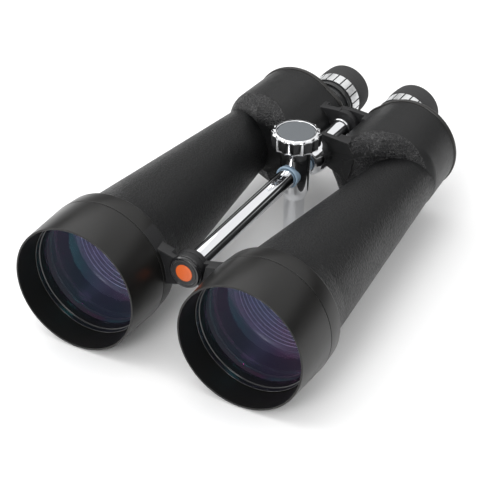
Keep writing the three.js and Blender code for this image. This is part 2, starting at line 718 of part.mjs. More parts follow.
function clampKnob() {
  const outline = new THREE.Shape();
  const steps = 3 * SCALLOPS;
  for (let i = 0; i < steps; i++) {
    const angle = (2 * Math.PI * i) / steps;
    const radius = KNOB_R - (i % 3 === 0 ? SCALLOP_DEPTH : 0);
    const [x, y] = [radius * Math.cos(angle), radius * Math.sin(angle)];
    if (i === 0) outline.moveTo(x, y);
    else outline.lineTo(x, y);
  }
  const options = { depth: KNOB_Z[1] - KNOB_Z[0], bevelEnabled: false };
  const head = new THREE.ExtrudeGeometry(outline, options);
  head.translate(0, POST_Y, KNOB_Z[0]);
  const screw = upright(SCREW_R, HINGE_Z + SCREW_LOW, KNOB_Z[0] + 1);
  const recess = upright(KNOB_RECESS_R, KNOB_Z[1] - KNOB_RECESS_DEPTH, KNOB_Z[1] + 1);
  return cut(join(solidFrom(head), screw), recess);
}

function knobDisc() {
  const lowZ = KNOB_Z[1] - KNOB_RECESS_DEPTH + GAP;
  return upright(KNOB_RECESS_R - 0.4, lowZ, lowZ + 0.75);
}

// ---------------------------------------------------------------- assembly

function hinge() {
  const group = new THREE.Group();
  group.position.z = HINGE_Z;
  group.add(
    node('hinge_rod', hingeRod(), 'chrome'),
    node('hinge_cap', hingeCap(), 'satinBlack'),
    node('cap_disc', capDisc(), 'orange'),
    node('rear_collar', rearCollar(), 'chrome'),
    node('rear_spacer', rearSpacer(), 'steel'),
    node('hinge_nut', hingeNut(), 'satinBlack'),
  );
  return group;
}

function post() {
  const group = new THREE.Group();
  group.add(
    node('rod_bush', rodBush(), 'nylon'),
    node('tripod_post', tripodPost(), 'chrome'),
    node('thread_insert', threadInsert(), 'brass'),
    node('clamp_shoe', clampShoe(), 'brass'),
    node('clamp_knob', clampKnob(), 'chrome'),
    node('knob_disc', knobDisc(), 'plainGrey'),
  );
  return group;
}

function binoculars() {
  const group = new THREE.Group();
  const [right, left] = [half('right'), half('left')];
  right.position.z = HINGE_Z;
  left.position.z = HINGE_Z;
  group.add(right, left, hinge(), post());
  return group;
}

export default binoculars();
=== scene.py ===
"""Looks of a pair of giant astronomy binoculars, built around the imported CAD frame.

Shapes are drawn in millimetres. Each half has a level frame of its own: u outwards from
the hinge axis, y along the hinge towards the eyepieces, w up. half_matrix() tilts it about
the hinge axis, and mirrors it for the left half.
"""

import math

import bpy
import numpy as np
from mathutils import Matrix, Vector, noise


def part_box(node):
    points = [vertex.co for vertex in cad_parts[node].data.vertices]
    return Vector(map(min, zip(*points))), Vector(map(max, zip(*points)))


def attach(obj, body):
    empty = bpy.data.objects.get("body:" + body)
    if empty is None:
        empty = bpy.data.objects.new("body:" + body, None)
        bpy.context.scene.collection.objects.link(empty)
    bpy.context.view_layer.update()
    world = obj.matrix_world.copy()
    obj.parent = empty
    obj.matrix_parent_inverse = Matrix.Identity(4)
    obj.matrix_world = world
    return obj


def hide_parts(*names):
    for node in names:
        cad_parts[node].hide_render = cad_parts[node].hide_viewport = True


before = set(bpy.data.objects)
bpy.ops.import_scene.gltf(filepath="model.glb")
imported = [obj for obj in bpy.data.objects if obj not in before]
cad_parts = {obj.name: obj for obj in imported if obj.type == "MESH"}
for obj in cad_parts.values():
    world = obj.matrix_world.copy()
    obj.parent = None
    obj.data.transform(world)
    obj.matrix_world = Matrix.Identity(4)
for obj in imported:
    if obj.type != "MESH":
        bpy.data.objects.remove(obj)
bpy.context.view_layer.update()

MM = 0.001
SIDES = ("right", "left")

# ------------------------------------------------------------------ places from the frame


def centre_of(node):
    low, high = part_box(node)
    return (low + high) / (2 * MM)


def span_of(node, axis):
    low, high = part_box(node)
    return low[axis] / MM, high[axis] / MM


HINGE_Z = centre_of("hinge_rod").z
POST_Y = centre_of("tripod_post").y
_hood = centre_of("right_lens_hood")
DROOP = math.atan2(HINGE_Z - _hood.z, _hood.x)
OBJECTIVE_U = math.hypot(HINGE_Z - _hood.z, _hood.x)
_eyecup = centre_of("right_eyecup")
EYEPIECE_U = math.hypot(HINGE_Z - _eyecup.z, _eyecup.x)
FRONT_Y = span_of("right_lens_hood", 1)[0]
KNOB_LOW_Z, KNOB_TOP_Z = span_of("clamp_knob", 2)[1] - 14.8, span_of("clamp_knob", 2)[1]

# ------------------------------------------------------------------ profile sizes, in mm

ROUND = 160  # segments of a large turned piece
SMALL_ROUND = 96

BAND_FRONT_Y, BAND_REAR_Y = -151.85, -133.5
CONE_FRONT_Y, CONE_FRONT_R = -126.0, 48.5
CONE_REAR_Y, CONE_REAR_R = 80.0, 28.1

BIG_R, SMALL_R, BIG_U = 42.3, 25.0, 59.0
LEAN = 5 / 65
HOUSING_FRONT_Y, FRONT_FLAT_U, FRONT_FALL, FRONT_FALL_LENGTH = 67.0, 50.0, 22.5, 20.0
SHOULDER_DEPTH, SHOULDER_WIDTH = 12.0, 16.0
HOUSING_REAR_Y, COVER_REAR_Y, BOSS_REAR_Y = 141.2, 146.0, 148.6

KNUCKLE_GAP = 0.35
JOURNAL_BORE = 6.35
ROD_R = span_of("hinge_rod", 0)[1]
ROD_BORE = ROD_R + KNUCKLE_GAP
JOURNAL_R = 6.0
FRONT_HUB = (-148.0, -137.0, 14.2, 15.0)  # y0, y1, radius, reach
MIDDLE_LUG = (67.0, 77.6, 14.6, 15.5)
REAR_LUG = (118.6, 130.4, 14.6, 15.5)
RELIEF_R = 15.1
FRONT_ARM = [(0, 5), (34, 22.3), (34, -16), (0, -13.5)]
ARM_FOOT = [(EYEPIECE_U, 12), (EYEPIECE_U, -12), (14, -8), (0, 0)]
MIDDLE_ARM = [(0, 20.5), (27, 24.8)] + ARM_FOOT
REAR_ARM = [(0, 15.5), (26, 19.3)] + ARM_FOOT

PADS = 20  # bright pads round a focus ring
SCALLOPS = 16


def cone_radius(y):
    along = (y - CONE_FRONT_Y) / (CONE_REAR_Y - CONE_FRONT_Y)
    return CONE_FRONT_R + (CONE_REAR_R - CONE_FRONT_R) * along


# ------------------------------------------------------------------ meshes


def signed_volume(verts, faces):
    total = 0.0
    for face in faces:
        origin = verts[face[0]]
        for i in range(1, len(face) - 1):
            total += np.dot(origin, np.cross(verts[face[i]], verts[face[i + 1]]))
    return total


def make_object(name, verts, faces):
    """A mesh object with faces that point outwards. verts in mm."""
    verts = np.asarray(verts, float)
    if signed_volume(verts, faces) < 0:
        faces = [tuple(reversed(face)) for face in faces]
    mesh = bpy.data.meshes.new(name)
    mesh.from_pydata((verts * MM).tolist(), [], [list(map(int, face)) for face in faces])
    mesh.validate()
    mesh.update()
    obj = bpy.data.objects.new(name, mesh)
    bpy.context.scene.collection.objects.link(obj)
    return obj


def soften(outline, steps=4, closed=True):
    """Rounds the corners of an outline. Its points are (r, y) or (r, y, fillet)."""
    count = len(outline)
    points = []
    for i, corner in enumerate(outline):
        here = Vector(corner[:2])
        fillet = corner[2] if len(corner) > 2 else 0
        at_end = not closed and i in (0, count - 1)
        if not fillet or at_end:
            points.append(tuple(here))
            continue
        before = Vector(outline[i - 1][:2]) - here
        after = Vector(outline[(i + 1) % count][:2]) - here
        half_angle = before.angle(after) / 2
        reach = min(fillet / math.tan(half_angle), 0.48 * before.length, 0.48 * after.length)
        start, end = here + before.normalized() * reach, here + after.normalized() * reach
        for k in range(steps + 1):
            t = k / steps
            points.append(tuple(start * (1 - t) ** 2 + here * 2 * t * (1 - t) + end * t * t))
    return points


def lathe(name, outline, segments=ROUND, at=(0, 0), closed=True, radius_at=None, steps=4):
    """A turned solid about a line along Y at u, w = at. An open outline starts and ends on
    the axis. radius_at(angle, r, y) changes the radius round the piece."""
    profile = soften(outline, steps, closed)
    verts, faces = [], []
    rings = profile if closed else profile[1:-1]
    for r, y in rings:
        for s in range(segments):
            angle = 2 * math.pi * s / segments
            radius = radius_at(angle, r, y) if radius_at else r
            verts.append((at[0] + radius * math.cos(angle), y, at[1] + radius * math.sin(angle)))
    count = len(rings)
    for i in range(count if closed else count - 1):
        a, b = i * segments, (i + 1) % count * segments
        for s in range(segments):
            t = (s + 1) % segments
            faces.append((a + s, a + t, b + t, b + s))
    if not closed:
        for ring, (_, y) in ((0, profile[0]), (count - 1, profile[-1])):
            tip = len(verts)
            verts.append((at[0], y, at[1]))
            for s in range(segments):
                t = (s + 1) % segments
                face = (ring * segments + s, ring * segments + t, tip)
                faces.append(face[::-1] if ring == 0 else face)
    return make_object(name, verts, faces)


def loft(name, rings):
    """A closed skin through rings of (u, y, w) points, capped at both ends."""
    around = len(rings[0])
    verts = [point for ring in rings for point in ring]
    faces = []
    for i in range(len(rings) - 1):
        a, b = i * around, (i + 1) * around
        for s in range(around):
            t = (s + 1) % around
            faces.append((a + s, a + t, b + t, b + s))
    faces.append(tuple(reversed(range(around))))
    last = (len(rings) - 1) * around
    faces.append(tuple(range(last, last + around)))
    return make_object(name, verts, faces)


def plate(name, outline, y0, y1, bevel=0.0, segments=3):
    """A flat (u, w) outline drawn out along Y, with its edges rounded."""
    count = len(outline)
    verts = [(u, y, w) for y in (y0, y1) for u, w in outline]
    faces = [tuple(range(count)), tuple(reversed(range(count, 2 * count)))]
    for s in range(count):
        t = (s + 1) % count
        faces.append((s, count + s, count + t, t))
    obj = make_object(name, verts, faces)
    if bevel:
        modifier = obj.modifiers.new("bevel", "BEVEL")
        modifier.width, modifier.segments = bevel * MM, segments
        modifier.limit_method, modifier.angle_limit = "ANGLE", math.radians(25)
        bake(obj)
    return obj


def bake(obj):
    """Applies an object's modifiers to its mesh."""
    graph = bpy.context.evaluated_depsgraph_get()
    graph.update()
    mesh = bpy.data.meshes.new_from_object(obj.evaluated_get(graph))
    mesh.materials.clear()
    obj.modifiers.clear()
    old = obj.data
    obj.data = mesh
    bpy.data.meshes.remove(old)


def combine(base, operation, *tools):
    """Joins or cuts closed bodies; the tools are used up."""
    for tool in tools:
        modifier = base.modifiers.new("combine", "BOOLEAN")
        modifier.operation, modifier.solver, modifier.object = operation, "MANIFOLD", tool
        bake(base)
        bpy.data.objects.remove(tool)
    return base


def join(base, *tools):
    return combine(base, "UNION", *tools)


def cut(base, *tools):
    return combine(base, "DIFFERENCE", *tools)


def rod(name, radius, y0, y1, segments=SMALL_ROUND, at=(0, 0), fillet=0.0):
    outline = [(0, y0), (radius, y0, fillet), (radius, y1, fillet), (0, y1)]
    return lathe(name, outline, segments, at, closed=False)


def smooth(obj, degrees=32):
    obj.data.shade_smooth()
    obj.data.set_sharp_from_angle(angle=math.radians(degrees))


# ------------------------------------------------------------------ placing pieces


def half_matrix(side):
    mirror = 1 if side == "right" else -1
    return (
        Matrix.Translation((0, 0, HINGE_Z * MM))
        @ Matrix.Rotation(mirror * DROOP, 4, "Y")
        @ Matrix.Diagonal((mirror, 1, 1, 1))
    )


def hinge_matrix():
    return Matrix.Translation((0, 0, HINGE_Z * MM))


def upright_matrix():
    """Turns a piece drawn along Y into one along Z on the post's axis."""
    return Matrix.Translation((0, POST_Y * MM, 0)) @ Matrix.Rotation(math.radians(90), 4, "X")


def place(obj, matrix, body, slot, materials, *nodes, degrees=32):
    """Puts a piece in the row frame, and says what it rides on and stands for."""
    obj.data.transform(matrix)
    if matrix.determinant() < 0:
        obj.data.flip_normals()
    obj.data.update()
    for material in materials if isinstance(materials, (list, tuple)) else [materials]:
        obj.data.materials.append(material)
    smooth(obj, degrees)
    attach(obj, body)
    if nodes:
        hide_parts(*nodes)
    return obj


def paint_faces(obj, choose):
    """choose(centre in mm) gives the material index of each face."""
    for face in obj.data.polygons:
        face.material_index = choose(face.center / MM)


# ------------------------------------------------------------------ node materials


class Graph:
    """A short way of writing a node tree."""

    def __init__(self, name):
        self.material = bpy.data.materials.new(name)
        self.material.use_nodes = True
        self.tree = self.material.node_tree
        self.tree.nodes.clear()
        self.output = self.tree.nodes.new("ShaderNodeOutputMaterial")
        self.place = self.add("TexCoord").outputs["Object"]

    def add(self, kind, settings=None, **inputs):
        node = self.tree.nodes.new("ShaderNode" + kind)
        for key, value in (settings or {}).items():
            setattr(node, key, value)
        for key, value in inputs.items():
            self.put(node, key, value)
        return node

    def put(self, node, key, value):
        name = key.replace("_", " ")
        socket = node.inputs[int(key[1:])] if key[0] == "i" and key[1:].isdigit() else None
        socket = socket or node.inputs[name]
        if isinstance(value, bpy.types.NodeSocket):
            self.tree.links.new(value, socket)
        else:
            socket.default_value = value

    def noise(self, scale, detail=3.0, stretch=None, rough=0.55):
        vector = self.place
        if stretch:
            vector = self.add("Mapping", Vector=self.place, Scale=stretch).outputs[0]
        settings = dict(Vector=vector, Scale=scale, Detail=detail, Roughness=rough)
        return self.add("TexNoise", **settings).outputs[0]

    def voronoi(self, scale, feature="F1", smoothness=0.6, stretch=None):
        vector = self.place
        if stretch:
            vector = self.add("Mapping", Vector=self.place, Scale=stretch).outputs[0]
        node = self.add("TexVoronoi", {"feature": feature}, Vector=vector, Scale=scale)
        if feature == "SMOOTH_F1":
            node.inputs["Smoothness"].default_value = smoothness
        return node.outputs["Distance"]

    def math(self, operation, a, b=0.0):
        return self.add("Math", {"operation": operation}, i0=a, i1=b).outputs[0]

    def remap(self, value, low, high, to_low, to_high):
        node = self.add("MapRange", Value=value)
        for key, number in zip(("From Min", "From Max", "To Min", "To Max"), (low, high, to_low, to_high)):
            self.put(node, key, number)
        return node.outputs[0]

    def mix(self, factor, a, b):
        node = self.add("Mix", {"data_type": "RGBA"})
        self.put(node, "i0", factor)
        self.put(node, "i6", a)
        self.put(node, "i7", b)
        return node.outputs[2]

    def bump(self, height, distance, strength=1.0, normal=None):
        node = self.add("Bump", Height=height, Distance=distance * MM, Strength=strength)
        if normal is not None:
            self.put(node, "Normal", normal)
        return node.outputs[0]

    def edges(self, width):
        """Near 1 along convex and concave edges, 0 on flat places."""
        rounded = self.add("Bevel", {"samples": 4}, Radius=width * MM).outputs[0]
        plain = self.add("NewGeometry").outputs["Normal"]
        dot = self.add("VectorMath", {"operation": "DOT_PRODUCT"}, i0=rounded, i1=plain)
        return self.remap(dot.outputs["Value"], 0.995, 0.86, 0.0, 1.0)

    def finish(self, shader):
        self.tree.links.new(shader, self.output.inputs["Surface"])
        return self.material


def rgb(value):
    red, green, blue = value if isinstance(value, tuple) else (value,) * 3
    return (red, green, blue, 1.0)


def principled(graph, colour, roughness, normal=None, **inputs):
    shader = graph.add("BsdfPrincipled", Base_Color=colour, Roughness=roughness)
    if normal is not None:
        graph.put(shader, "Normal", normal)
    for key, value in inputs.items():
        graph.put(shader, key, value)
    return shader.outputs[0]


def painted(name, colour, roughness, grain=None, speckle=(1400, 0.012), wear=0.0, mottle=0.25,
            specular=0.5, coat=0.0, ridges=None):
    """Paint or moulded covering: mottled colour, uneven gloss, fine grain, edges painted lighter, part wear and
    part painted highlight.
    grain is (scale per metre, depth in mm) of rounded pebbles; speckle a finer noise;
    ridges (scale per metre, depth in mm, brightness of a painted highlight) of raised lines between hollows."""
    graph = Graph(name)
    blotch = graph.noise(38, 4)
    fine = graph.noise(speckle[0], 2)
    shade = graph.mix(blotch, rgb(tuple(c * (1 - mottle) for c in colour)),
                      rgb(tuple(c * (1 + mottle) for c in colour)))
    shade = graph.mix(graph.remap(fine, 0.45, 0.75, 0.0, 0.35), shade, rgb(tuple(c * 1.6 for c in colour)))
    rough = graph.remap(blotch, 0.3, 0.7, roughness * 0.88, roughness * 1.12)
    normal = graph.bump(fine, speckle[1], 0.8)
    if grain:
        pebbles = graph.voronoi(grain[0], "SMOOTH_F1", 0.75)
        warped = graph.math("ADD", pebbles, graph.math("MULTIPLY", graph.noise(grain[0] * 0.6, 3), 0.7))
        normal = graph.bump(warped, grain[1], 0.9, normal)
        rough = graph.math("ADD", rough, graph.remap(pebbles, 0.2, 0.7, -0.05, 0.07))
        shade = graph.mix(graph.remap(pebbles, 0.55, 0.9, 0.0, 0.5), shade,
                          rgb(tuple(c * 0.55 for c in colour)))
    if ridges:
        scale, depth, ridge_highlight = ridges
        hollow = graph.voronoi(scale, "DISTANCE_TO_EDGE", stretch=(1.25, 0.55, 1.25))
        waver = graph.math("MULTIPLY", graph.noise(scale * 1.3, 3), 0.10)
        line = graph.remap(graph.math("ADD", hollow, waver), 0.04, 0.20, 1.0, 0.0)
        normal = graph.bump(line, depth, 1.0, normal)
        # painted highlight: the ridge lines are coloured lighter in place of the sheen on their crests
        shade = graph.mix(graph.math("MULTIPLY", line, 0.8), shade, rgb(ridge_highlight))
    # edges painted lighter: part real wear, part a painted highlight where rims and steps catch the light
    if wear:
        edge = graph.edges(0.7)
        patchy = graph.math("MULTIPLY", edge, graph.remap(graph.noise(260, 3), 0.35, 0.65, 0.25, 1.0))
        worn_and_highlight = graph.math("MULTIPLY", patchy, wear)
        shade = graph.mix(worn_and_highlight, shade, rgb(0.2))
        rough = graph.math("SUBTRACT", rough, graph.math("MULTIPLY", worn_and_highlight, 0.12))
    shader = principled(graph, shade, rough, normal, Specular_IOR_Level=specular, Coat_Weight=coat,
                        Coat_Roughness=0.18)
    return graph.finish(shader)


def metal(name, colour, roughness, brushed=None, smudge=0.5):
    """Plated or turned metal: fine scratches, faint smudges, an uneven polish."""
    graph = Graph(name)
    blotch = graph.noise(55, 4)
    scratches = graph.noise(900, 2, brushed or (1.0, 0.06, 1.0))
    tint = graph.mix(blotch, rgb(tuple(c * 0.94 for c in colour)), rgb(colour))
    rough = graph.remap(blotch, 0.35, 0.75, roughness, roughness * (1 + smudge))
    rough = graph.math("ADD", rough, graph.remap(scratches, 0.4, 0.7, 0.0, roughness * 0.6))
    normal = graph.bump(scratches, 0.002, 0.2)
    return graph.finish(principled(graph, tint, rough, normal, Metallic=1.0))


TINT_TOWARDS = (0.9, 0.0, 0.1)


def coated_glass(name, ramp, reflect, clear, bloom):
    """A coated lens: light passes straight through, and the reflection takes its colour
    from the way the curved face leans. The last argument sets a painted glow: the lens gives off light in the
    same colour."""
    graph = Graph(name)
    geometry = graph.add("NewGeometry")
    facing = graph.add("VectorMath", {"operation": "DOT_PRODUCT"}, i0=geometry.outputs["Normal"],
                       i1=TINT_TOWARDS).outputs["Value"]
    drift = graph.remap(graph.noise(14, 2), 0.3, 0.7, -0.02, 0.02)
    along = graph.remap(graph.math("ADD", facing, drift), ramp[0][0], ramp[-1][0], 0.0, 1.0)
    colours = graph.add("ValToRGB", Fac=along)
    elements = colours.color_ramp.elements
    low, high = ramp[0][0], ramp[-1][0]
    for i, (place, colour) in enumerate(ramp):
        position = (place - low) / (high - low)
        element = elements[i] if i < 2 else elements.new(position)
        element.position, element.color = position, rgb(colour)
    dust = graph.remap(graph.noise(700, 2), 0.62, 0.8, 0.0, 1.0)
    glossy = graph.add("BsdfGlossy", Color=colours.outputs[0],
                       Roughness=graph.remap(dust, 0.0, 1.0, 0.01, 0.08)).outputs[0]
    dim = graph.add("BsdfTransparent", Color=rgb(clear)).outputs[0]
    mixed = graph.add("MixShader", Fac=reflect)
    graph.put(mixed, "i1", dim)
    graph.put(mixed, "i2", glossy)
    # painted glow: an emission in the coating's colour, though the lens is no lamp
    painted_glow = graph.add("Emission", Color=colours.outputs[0], Strength=bloom).outputs[0]
    return graph.finish(graph.add("AddShader", i0=mixed.outputs[0], i1=painted_glow).outputs[0])


def plain_glass(name):
    """Uncoated-looking optical glass for the lenses and prisms inside."""
    graph = Graph(name)
    bubbles = graph.remap(graph.noise(300, 2), 0.3, 0.7, 0.01, 0.05)
    glossy = graph.add("BsdfGlossy", Color=rgb((0.8, 0.92, 0.9)), Roughness=bubbles).outputs[0]
    clear = graph.add("BsdfTransparent", Color=rgb((0.9, 0.97, 0.95))).outputs[0]
    fresnel = graph.add("Fresnel", IOR=1.52).outputs[0]
    mixed = graph.add("MixShader", Fac=fresnel)
    graph.put(mixed, "i1", clear)
    graph.put(mixed, "i2", glossy)
    return graph.finish(mixed.outputs[0])


COATING = [
    (-0.12, (0.08, 0.85, 0.85)),
    (-0.04, (0.12, 0.50, 0.62)),
    (0.03, (0.40, 0.26, 0.60)),
    (0.09, (0.80, 0.16, 0.58)),
    (0.15, (0.90, 0.12, 0.46)),
]

MATERIALS = {
    "hood_satin_black": painted("hood_satin_black", (0.007, 0.0067, 0.0063), 0.32, speckle=(2600, 0.006),
                                wear=0.5, mottle=0.12, specular=0.35),
    "tube_grained_black": painted("tube_grained_black", (0.0055, 0.0057, 0.006), 0.42, grain=(620, 0.40),
                                  wear=0.2, mottle=0.3, specular=0.3),
    "housing_black": painted("housing_black", (0.006, 0.0062, 0.0065), 0.42, grain=(1100, 0.16), wear=0.2,
                             specular=0.35),
    # the last ridge number is a painted highlight along the wrinkle crests
    "wrinkle_black": painted("wrinkle_black", (0.006, 0.006, 0.007), 0.34, wear=0.3, specular=0.45,
                             ridges=(400, 0.6, 0.075)),
    "cover_black": painted("cover_black", (0.013, 0.012, 0.011), 0.34, speckle=(2400, 0.006), wear=0.6),
    "inner_matt_black": painted("inner_matt_black", (0.008, 0.008, 0.008), 0.6, speckle=(1400, 0.001),
                                wear=0.2),
    # painted highlight: light grey on the rib crests stands in for their glints
    "rib_edge": painted("rib_edge", (0.80, 0.78, 0.84), 0.35, speckle=(2400, 0.001), mottle=0.1),
    "rib_black": painted("rib_black", (0.006, 0.006, 0.007), 0.30, speckle=(2400, 0.001)),
    # its lighter edges also paint the light lines on the retaining ring's steps as a painted highlight
    "ring_gloss_black": painted("ring_gloss_black", (0.008, 0.008, 0.009), 0.14, speckle=(2400, 0.002),
                                wear=0.5, coat=0.5),
    "cap_face_grey": painted("cap_face_grey", (0.022, 0.022, 0.023), 0.32, speckle=(2400, 0.003), wear=0.6),
    "lug_black": painted("lug_black", (0.010, 0.010, 0.011), 0.5, grain=(1900, 0.04), wear=0.45,
                         specular=0.4),
    # the last number is the strength of the lens's painted glow
    "objective_glass": coated_glass("objective_glass", COATING, 0.035, (0.92, 0.91, 0.94), 0.02),
    "rear_lens_glass": coated_glass("rear_lens_glass", COATING, 0.03, (0.92, 0.94, 0.95), 0.0),
    "clear_glass": plain_glass("clear_glass"),
    "chrome_plate": metal("chrome_plate", (0.80, 0.81, 0.83), 0.02, smudge=0.35),
    "bright_steel": metal("bright_steel", (0.46, 0.47, 0.48), 0.2),
    "focus_silver": metal("focus_silver", (0.92, 0.93, 0.94), 0.34, (0.2, 1.0, 0.2), smudge=0.3),
    "barrel_grey": painted("barrel_grey", (0.024, 0.025, 0.026), 0.28, speckle=(2400, 0.004), wear=0.5),
    "eyecup_rubber": painted("eyecup_rubber", (0.030, 0.030, 0.031), 0.8, grain=(2200, 0.03),
                             speckle=(3000, 0.02), wear=0.15),
    "bush_nylon": painted("bush_nylon", (0.24, 0.33, 0.42), 0.38, speckle=(2400, 0.004), wear=0.0),
    "insert_brass": metal("insert_brass", (0.60, 0.42, 0.19), 0.3),
    "disc_grey": painted("disc_grey", (0.10, 0.11, 0.12), 0.45, speckle=(2600, 0.004), mottle=0.08),
    "disc_orange": painted("disc_orange", (0.66, 0.115, 0.016), 0.42, speckle=(2600, 0.004), mottle=0.08,
                           coat=0.3),
}

# ------------------------------------------------------------------ objective end


def lens_hood():
    return lathe("lens_hood", [
        (54.3, FRONT_Y, 0.5), (55.9, FRONT_Y, 0.6), (57.0, -152.35, 0.5), (54.7, -152.35, 0.2),
        (54.7, -167.0, 0.2), (52.9, -167.0, 0.3), (52.9, -168.4, 0.3),
    ], at=(OBJECTIVE_U, 0))


def tube_shell():
    outside = lathe("objective_tube", [
        (0, -166.4), (54.3, -166.4, 0.2), (54.3, BAND_FRONT_Y), (57.0, BAND_FRONT_Y, 0.5),
        (55.5, BAND_REAR_Y - 1, 2.0), (50.2, CONE_FRONT_Y - 2.6, 3.0), (cone_radius(-112), -112, 3),
        (CONE_REAR_R, CONE_REAR_Y), (25.2, CONE_REAR_Y), (25.2, 84), (0, 84),
    ], at=(OBJECTIVE_U, 0), closed=False)
    inside = lathe("inside", [
        (0, -170), (53, -170), (53, -144), (CONE_FRONT_R - 1.8, CONE_FRONT_Y),
        (cone_radius(76) - 1.8, 76), (23, 80), (23, 90), (0, 90),
    ], at=(OBJECTIVE_U, 0), closed=False)
    return outside, inside


def hinge_arm(hub, in_front, outline, bevel=0.8):
    """A hinge arm drawn outwards from the hinge axis, with its round knuckle. It is full
    thickness beyond the other half's knuckle."""
    low, high, radius, reach = hub
    middle = (low + high) / 2
    y0 = low if in_front else middle + KNUCKLE_GAP / 2
    y1 = middle - KNUCKLE_GAP / 2 if in_front else high
    thin = plate("arm_thin", outline, y0, y1, bevel)
    beyond = [(reach, -60), (90, -60), (90, 60), (reach, 60)]
    thick = combine(plate("arm_thick", outline, low, high, bevel), "INTERSECT",
                    plate("beyond", beyond, low - 5, high + 5))
    fillet = 0.9
    knuckle = lathe("knuckle", [
        (JOURNAL_BORE, y0, 0.2), (radius, y0, fillet), (radius, y1, fillet), (JOURNAL_BORE, y1, 0.2),
    ], SMALL_ROUND)
    bore = rod("bore", JOURNAL_BORE, low - 1, high + 1)
    return join(cut(join(thin, thick), bore), knuckle)


def objective_tube(knuckle_in_front):
    outside, inside = tube_shell()
    return cut(join(outside, hinge_arm(FRONT_HUB, knuckle_in_front, FRONT_ARM)), inside)


def objective_cell():
    """The ring-shaped holder of both lenses, with a lip behind them."""
    front, rear = span_of("right_objective_cell", 1)
    bore, outer, lip = 51.35, 52.6, 49.0
    return lathe("objective_cell", [
        (bore, front, 0.2), (outer, front, 0.2), (outer, rear, 0.2), (lip, rear, 0.3), (lip, rear - 1.8, 0.3),
        (bore, rear - 1.8),
    ], at=(OBJECTIVE_U, 0))


def retaining_ring():
    return lathe("retaining_ring", [
        (49.9, -162.4, 0.2), (49.9, -165.6, 0.8), (51.2, -169.8, 0.3), (52.0, -170.1, 0.3),
        (52.0, -174.3, 0.2), (52.6, -174.5, 0.2), (52.6, -166.2, 0.2), (51.0, -166.2, 0.2),
        (51.0, -162.4, 0.2),
    ], at=(OBJECTIVE_U, 0))


def lens_face(radius, edge_y, sag, steps=20):
    rings = [(radius * (1 - i / steps)) for i in range(steps + 1)]
    return [(r, edge_y + sag * (1 - (r / radius) ** 2)) for r in rings]


def lens(name, radius, front, rear, at, segments=ROUND):
    outline = lens_face(radius, *front)[::-1] + lens_face(radius, *rear)
    return lathe(name, outline, segments, at, closed=False)


RIBS_REAR_Y = -60.0


def tube_baffle():
    """A sleeve with sharp turned ribs that stop stray light."""
    low, high, ribs = CONE_FRONT_Y + 0.5, RIBS_REAR_Y, 17
    pitch = (high - low) / ribs
    outer = lambda y: cone_radius(y) - 2.4
    outline = [(outer(low), low), (outer(high), high)]
    for i in range(ribs, 0, -1):
        y = low + pitch * i
        outline += [(outer(y) - 2.6, y - 0.1, 0.25), (outer(y) - 2.6, y - 0.8, 0.25),
                    (outer(y) - 1.2, y - pitch * 0.75)]
    return lathe("tube_baffle", outline, at=(OBJECTIVE_U, 0), steps=2)


def rib_look(centre):
    """The narrow crest of each rib is painted light grey, a painted highlight in place of the glints it catches;
    the flanks are black.
    """
    depth = cone_radius(centre.y) - math.hypot(centre.x - OBJECTIVE_U, centre.z)
    return 1 if depth > 4.85 and centre.y < RIBS_REAR_Y - 1 else 0


# ------------------------------------------------------------------ prism housing

HULL_POINTS = 400


def hull_points(inset, small, count=HULL_POINTS):
    """Points at about equal spacing round the hull of the big and the small circle."""
    big = BIG_R - inset
    apart = BIG_U - EYEPIECE_U
    tangent = math.pi - math.acos((big - small) / apart)
    # the number of points on each stretch comes from the full-size hull, so that rings match
    full_tangent = math.pi - math.acos((BIG_R - SMALL_R) / (BIG_U - EYEPIECE_U))
    lengths = [2 * full_tangent * BIG_R, 13.0, 2 * (math.pi - full_tangent) * SMALL_R, 13.0]
    shares = [max(2, round(count * length / sum(lengths))) for length in lengths]
    points = []
    for i in range(shares[0]):
        angle = -tangent + 2 * tangent * i / shares[0]
        points.append((BIG_U + big * math.cos(angle), big * math.sin(angle)))
    for i in range(shares[1]):
        t = i / shares[1]
        start = (BIG_U + big * math.cos(tangent), big * math.sin(tangent))
        end = (EYEPIECE_U + small * math.cos(tangent), small * math.sin(tangent))
        points.append((start[0] + (end[0] - start[0]) * t, start[1] + (end[1] - start[1]) * t))
    for i in range(shares[2]):
        angle = tangent + 2 * (math.pi - tangent) * i / shares[2]
        points.append((EYEPIECE_U + small * math.cos(angle), small * math.sin(angle)))
    for i in range(shares[3]):
        t = i / shares[3]
        start = (EYEPIECE_U + small * math.cos(tangent), -small * math.sin(tangent))
        end = (BIG_U + big * math.cos(tangent), -big * math.sin(tangent))
        points.append((start[0] + (end[0] - start[0]) * t, start[1] + (end[1] - start[1]) * t))
    return points


def outside_hull(u, w):
    """Whether a point beside the hinge stands clear of the housing's wall."""
    tangent = math.pi - math.acos((BIG_R - SMALL_R) / (BIG_U - EYEPIECE_U))
    along = u - EYEPIECE_U
    if along < SMALL_R * math.cos(tangent):
        return math.hypot(along, w) > SMALL_R + 0.15
    return along * math.cos(tangent) + abs(w) * math.sin(tangent) > SMALL_R + 0.15


def leaned(u, y):
    share = min(max((u - EYEPIECE_U) / (BIG_U - EYEPIECE_U), 0), 1)
    return u + LEAN * (COVER_REAR_Y - y) * share


def front_y(u):
    beyond = max(0.0, u - FRONT_FLAT_U)
    return HOUSING_FRONT_Y + FRONT_FALL * (1 - math.exp(-beyond / FRONT_FALL_LENGTH))


def hull_ring(inset, small, y_at, count=HULL_POINTS):
    ring = []
    for u, w in hull_points(inset, small, count):
        y = y_at(u)
        ring.append((leaned(u, y), y, w))
    return ring


# the wrinkled patch ends further back away from the hinge
PATCH_START_U, PATCH_DEPTH, PATCH_SPREAD = 23.0, 24.0, 16.0


